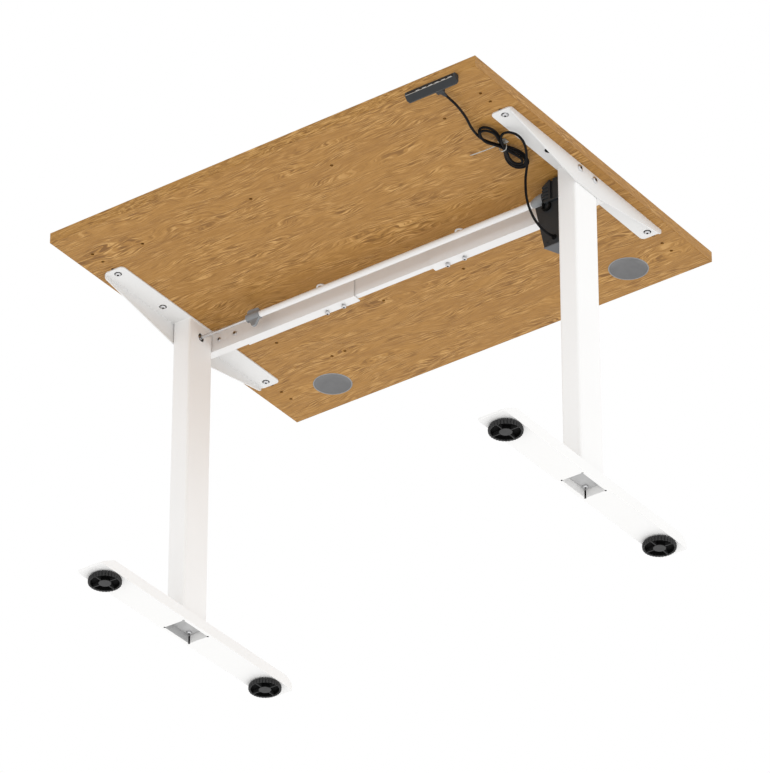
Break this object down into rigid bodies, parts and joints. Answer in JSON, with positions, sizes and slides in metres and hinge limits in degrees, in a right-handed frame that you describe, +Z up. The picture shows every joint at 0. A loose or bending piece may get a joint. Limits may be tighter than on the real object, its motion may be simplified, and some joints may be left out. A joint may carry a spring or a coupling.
{
  "type": "height adjustable standing desk",
  "caption": "Rectangular wooden desktop on a T-foot frame whose motor driven telescopic columns raise it, with a push button handset under the front edge.",
  "frame": {"origin": "on the floor, under the middle of the desk, midway between the two columns", "axes": "+X to the right of a person sitting at the desk, +Y away from that person, +Z up"},
  "size_m": [1, 0.806, 0.728],
  "materials": {
    "oak_top": "oiled oak veneer with a fine straight grain along X",
    "oak_edge": "oak edge banding",
    "white_paint": "white powder coat, fine orange peel, satin",
    "black_plastic": "black moulded plastic, fine texture",
    "handset_black": "black moulded plastic, satin",
    "black_glide": "black moulded plastic, matte",
    "grey_plastic": "grey moulded plastic, satin",
    "zinc_plate": "zinc plated sheet",
    "zinc_screw": "zinc plated, satin",
    "bright_steel": "bright drawn steel",
    "brass_nut": "machined",
    "button_grey": "light grey soft-touch",
    "cord_black": "black extruded jacket, satin",
    "tie_nylon": "natural nylon"
  },
  "bodies": {
    "base": {"foot_left": "white_paint", "inner_tube_left": "white_paint", "spindle_nut_left": "brass_nut", "foot_bolt_left": "zinc_screw", "foot_right": "white_paint", "inner_tube_right": "white_paint", "spindle_nut_right": "brass_nut", "foot_bolt_right": "zinc_screw"},
    "top": {"desktop_board": "oak_top", "edge_band": "oak_edge", "grommet_liner_left": "grey_plastic", "side_bracket_left": "white_paint", "bracket_screw_left_front": "zinc_screw", "bracket_screw_left_middle": "zinc_screw", "bracket_screw_left_rear": "zinc_screw", "outer_tube_left": "white_paint", "end_bracket_left": "white_paint", "beam_channel_left": "white_paint", "guide_sleeve_left": "black_plastic", "gearbox_left": "black_plastic", "grommet_liner_right": "grey_plastic", "side_bracket_right": "white_paint", "bracket_screw_right_front": "zinc_screw", "bracket_screw_right_middle": "zinc_screw", "bracket_screw_right_rear": "zinc_screw", "outer_tube_right": "white_paint", "end_bracket_right": "white_paint", "beam_channel_right": "white_paint", "guide_sleeve_right": "black_plastic", "gearbox_right": "black_plastic", "beam_channel_inner": "white_paint", "motor_housing": "black_plastic", "drive_cover": "black_plastic", "mounting_plate": "zinc_plate", "gear_motor": "zinc_plate", "power_inlet": "black_plastic", "handset_case": "handset_black", "handset_strain_relief": "black_plastic", "handset_cord_upper": "cord_black", "handset_cord_hank": "cord_black", "handset_cord_lower": "cord_black", "cable_tie": "tie_nylon"},
    "spindle_left": {"spindle_left": "bright_steel"},
    "spindle_right": {"spindle_right": "bright_steel"},
    "drive_shaft": {"drive_rod": "bright_steel", "drive_tube": "white_paint", "rod_clamp": "grey_plastic", "output_shaft": "grey_plastic"},
    "grommet_cap_left": {"grommet_cap_left": "grey_plastic"},
    "grommet_cap_right": {"grommet_cap_right": "grey_plastic"},
    "levelling_foot_left_front": {"levelling_foot_left_front": "black_glide"},
    "levelling_foot_left_rear": {"levelling_foot_left_rear": "black_glide"},
    "levelling_foot_right_front": {"levelling_foot_right_front": "black_glide"},
    "levelling_foot_right_rear": {"levelling_foot_right_rear": "black_glide"},
    "handset_button_1": {"handset_button_1": "button_grey"},
    "handset_button_2": {"handset_button_2": "button_grey"},
    "handset_button_3": {"handset_button_3": "button_grey"},
    "handset_button_4": {"handset_button_4": "button_grey"},
    "handset_button_5": {"handset_button_5": "button_grey"},
    "handset_button_6": {"handset_button_6": "button_grey"}
  },
  "joints": [
    {"name": "height", "type": "slide", "parent": "base", "child": "top", "axis": [0, 0, 1], "range_m": [0, 0.45]},
    {"name": "spindle_left_turn", "type": "hinge", "parent": "top", "child": "spindle_left", "pos_m": [-0.4565, 0, 0.4], "axis": [0, 0, 1], "range_deg": [0, 8101]},
    {"name": "spindle_right_turn", "type": "hinge", "parent": "top", "child": "spindle_right", "pos_m": [0.4565, 0, 0.4], "axis": [0, 0, 1], "range_deg": [-8101, 0]},
    {"name": "drive_shaft_turn", "type": "hinge", "parent": "top", "child": "drive_shaft", "pos_m": [0, 0, 0.673], "axis": [1, 0, 0], "range_deg": [0, 8101]},
    {"name": "levelling_left_front", "type": "slide", "parent": "base", "child": "levelling_foot_left_front", "axis": [0, 0, -1], "range_m": [0, 0.012]},
    {"name": "levelling_left_rear", "type": "slide", "parent": "base", "child": "levelling_foot_left_rear", "axis": [0, 0, -1], "range_m": [0, 0.012]},
    {"name": "levelling_right_front", "type": "slide", "parent": "base", "child": "levelling_foot_right_front", "axis": [0, 0, -1], "range_m": [0, 0.012]},
    {"name": "levelling_right_rear", "type": "slide", "parent": "base", "child": "levelling_foot_right_rear", "axis": [0, 0, -1], "range_m": [0, 0.012]},
    {"name": "button_1_press", "type": "slide", "parent": "top", "child": "handset_button_1", "axis": [0, 1, 0], "range_m": [0, 0.0008], "stiffness_N_per_m": 900},
    {"name": "button_2_press", "type": "slide", "parent": "top", "child": "handset_button_2", "axis": [0, 1, 0], "range_m": [0, 0.0008], "stiffness_N_per_m": 900},
    {"name": "button_3_press", "type": "slide", "parent": "top", "child": "handset_button_3", "axis": [0, 1, 0], "range_m": [0, 0.0008], "stiffness_N_per_m": 900},
    {"name": "button_4_press", "type": "slide", "parent": "top", "child": "handset_button_4", "axis": [0, 1, 0], "range_m": [0, 0.0008], "stiffness_N_per_m": 900},
    {"name": "button_5_press", "type": "slide", "parent": "top", "child": "handset_button_5", "axis": [0, 1, 0], "range_m": [0, 0.0008], "stiffness_N_per_m": 900},
    {"name": "button_6_press", "type": "slide", "parent": "top", "child": "handset_button_6", "axis": [0, 1, 0], "range_m": [0, 0.0008], "stiffness_N_per_m": 900},
    {"name": "grommet_cap_left_lift", "type": "slide", "parent": "top", "child": "grommet_cap_left", "axis": [0, 0, 1], "range_m": [0, 0.03]},
    {"name": "grommet_cap_right_lift", "type": "slide", "parent": "top", "child": "grommet_cap_right", "axis": [0, 0, 1], "range_m": [0, 0.03]}
  ],
  "couplings": [
    {"joint": "spindle_left_turn", "follows": "height", "rad_per_m": 314.16},
    {"joint": "spindle_right_turn", "follows": "height", "rad_per_m": -314.16},
    {"joint": "drive_shaft_turn", "follows": "height", "rad_per_m": 314.16}
  ]
}
